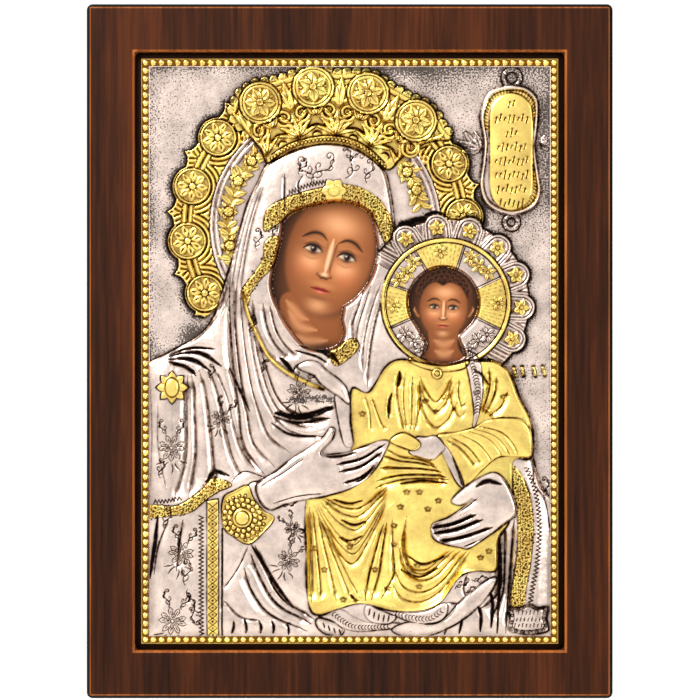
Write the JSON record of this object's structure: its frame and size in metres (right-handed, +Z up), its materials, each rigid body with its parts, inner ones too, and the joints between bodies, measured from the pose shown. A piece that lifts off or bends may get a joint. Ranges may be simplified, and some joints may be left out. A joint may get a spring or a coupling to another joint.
{
  "type": "icon panel",
  "caption": "Hanging icon panel: recessed dark wooden board, painted panel, and an embossed silver and gilt cover of a mother and child with two windows for the painted faces.",
  "frame": {"origin": "centre of the board's back face, which lies flat on the wall", "axes": "+Z up as it hangs, +Y towards the wall, +X to the viewer's right; the relief faces -Y"},
  "size_m": [0.25, 0.0219, 0.33],
  "materials": {
    "board_wood": "walnut stain under satin varnish",
    "painted_wood": "egg tempera under varnish",
    "cover_metal": "embossed silver, partly gilded, dark patina in the hollows"
  },
  "bodies": {
    "root": {"wooden_board": "board_wood", "painted_panel": "painted_wood", "metal_cover": "cover_metal"}
  },
  "joints": []
}
